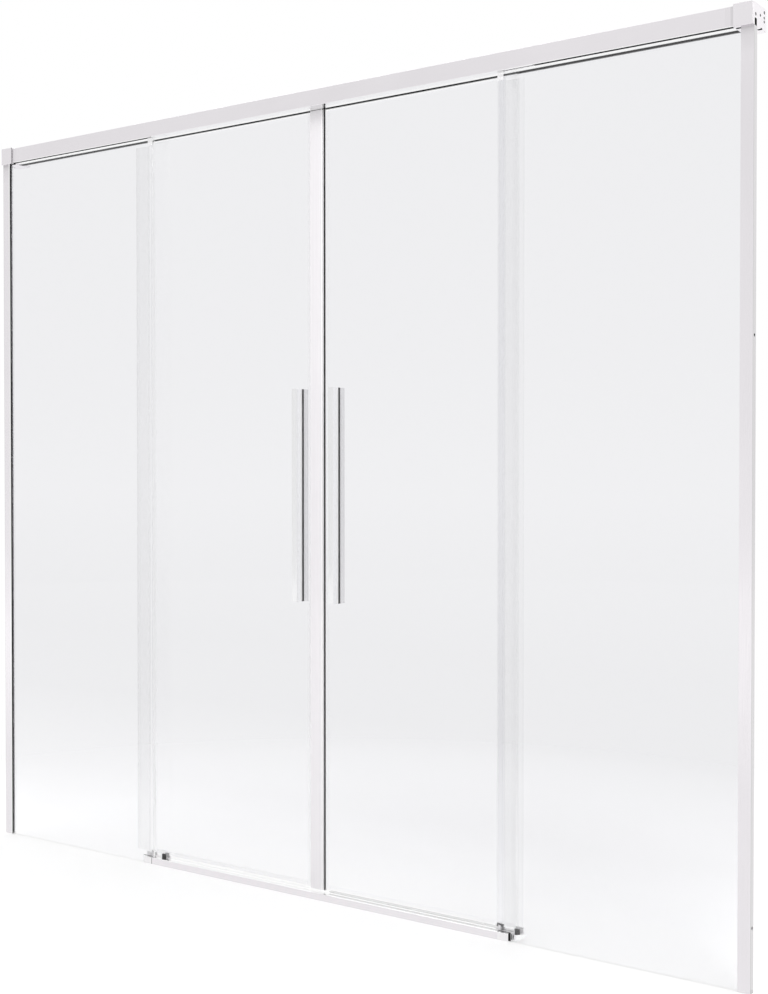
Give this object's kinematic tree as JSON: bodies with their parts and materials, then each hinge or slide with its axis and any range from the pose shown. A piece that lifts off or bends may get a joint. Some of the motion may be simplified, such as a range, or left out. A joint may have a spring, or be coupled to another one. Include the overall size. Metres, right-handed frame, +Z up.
{
  "type": "sliding bath screen",
  "caption": "Wide glass bath screen with fixed side panes and a pair of sliding doors hung on rollers in a metal top rail, with wall channels, a low sill and upright pull handles.",
  "frame": {"origin": "on the bath rim, midway between the walls and midway through the depth of the end caps", "axes": "+X along the screen to the right as seen from the room, +Y from the room to the bath, +Z up"},
  "size_m": [1.7, 0.056, 1.5],
  "materials": {
    "glass": "clear toughened glass with a faint grey tint",
    "rail_metal": "bright polished and anodised extrusion",
    "cap_metal": "bright smooth casting",
    "handle_metal": "polished",
    "hanger_metal": "satin stainless steel",
    "dark_steel": "black coated screws",
    "black_rubber": "matt black",
    "black_plastic": "matt black moulding",
    "clear_seal": "clear flexible extrusion",
    "white_seal": "milky flexible extrusion",
    "magnet": "dark magnetic strip",
    "roller_plastic": "off-white nylon"
  },
  "bodies": {
    "frame": {"top_rail": "rail_metal", "rail_cover_strip": "rail_metal", "rail_screws": "dark_steel", "sill_rail": "rail_metal", "rail_end_cap_left": "cap_metal", "rail_end_cap_right": "cap_metal", "wall_channel_left": "rail_metal", "wall_channel_right": "rail_metal", "wall_gasket_left": "black_rubber", "wall_gasket_right": "black_rubber", "rail_gasket_left": "black_rubber", "rail_gasket_right": "black_rubber", "fixed_glass_left": "glass", "fixed_glass_right": "glass", "base_seal_left": "clear_seal", "base_seal_right": "clear_seal", "overlap_seal_left": "clear_seal", "overlap_seal_right": "clear_seal", "sill_shoe_left": "rail_metal", "sill_shoe_right": "rail_metal", "shoe_pad_left": "black_rubber", "shoe_pad_right": "black_rubber", "door_guide_left": "black_plastic", "door_guide_right": "black_plastic", "rail_stop_left": "black_rubber", "rail_stop_right": "black_rubber"},
    "left_door": {"door_glass_left": "glass", "outer_hanger_left": "hanger_metal", "inner_hanger_left": "hanger_metal", "hanger_clamps_left": "hanger_metal", "hanger_bolts_left": "hanger_metal", "roller_axles_left": "hanger_metal", "bottom_seal_left": "clear_seal", "edge_seal_left": "clear_seal", "meeting_seal_left": "white_seal", "magnet_strip_left": "magnet", "outer_handle_left": "handle_metal", "inner_handle_left": "handle_metal", "handle_pads_left": "black_rubber", "handle_bolts_left": "hanger_metal"},
    "right_door": {"door_glass_right": "glass", "outer_hanger_right": "hanger_metal", "inner_hanger_right": "hanger_metal", "hanger_clamps_right": "hanger_metal", "hanger_bolts_right": "hanger_metal", "roller_axles_right": "hanger_metal", "bottom_seal_right": "clear_seal", "edge_seal_right": "clear_seal", "meeting_seal_right": "clear_seal", "magnet_strip_right": "magnet", "outer_handle_right": "handle_metal", "inner_handle_right": "handle_metal", "handle_pads_right": "black_rubber", "handle_bolts_right": "hanger_metal"},
    "left_outer_roller": {"outer_roller_left": "roller_plastic"},
    "left_inner_roller": {"inner_roller_left": "roller_plastic"},
    "right_outer_roller": {"outer_roller_right": "roller_plastic"},
    "right_inner_roller": {"inner_roller_right": "roller_plastic"}
  },
  "joints": [
    {"name": "left_door_slide", "type": "slide", "parent": "frame", "child": "left_door", "axis": [-1, 0, 0], "range_m": [0, 0.34]},
    {"name": "right_door_slide", "type": "slide", "parent": "frame", "child": "right_door", "axis": [1, 0, 0], "range_m": [0, 0.34]},
    {"name": "left_outer_roller_spin", "type": "hinge", "parent": "left_door", "child": "left_outer_roller", "pos_m": [-0.356, -0.0047, 1.48], "axis": [0, 1, 0], "continuous": true},
    {"name": "left_inner_roller_spin", "type": "hinge", "parent": "left_door", "child": "left_inner_roller", "pos_m": [-0.075, -0.0047, 1.48], "axis": [0, 1, 0], "continuous": true},
    {"name": "right_outer_roller_spin", "type": "hinge", "parent": "right_door", "child": "right_outer_roller", "pos_m": [0.356, -0.0047, 1.48], "axis": [0, 1, 0], "continuous": true},
    {"name": "right_inner_roller_spin", "type": "hinge", "parent": "right_door", "child": "right_inner_roller", "pos_m": [0.075, -0.0047, 1.48], "axis": [0, 1, 0], "continuous": true}
  ],
  "couplings": [
    {"joint": "left_outer_roller_spin", "follows": "left_door_slide", "rad_per_m": -133.33},
    {"joint": "left_inner_roller_spin", "follows": "left_door_slide", "rad_per_m": -133.33},
    {"joint": "right_outer_roller_spin", "follows": "right_door_slide", "rad_per_m": 133.33},
    {"joint": "right_inner_roller_spin", "follows": "right_door_slide", "rad_per_m": 133.33}
  ]
}
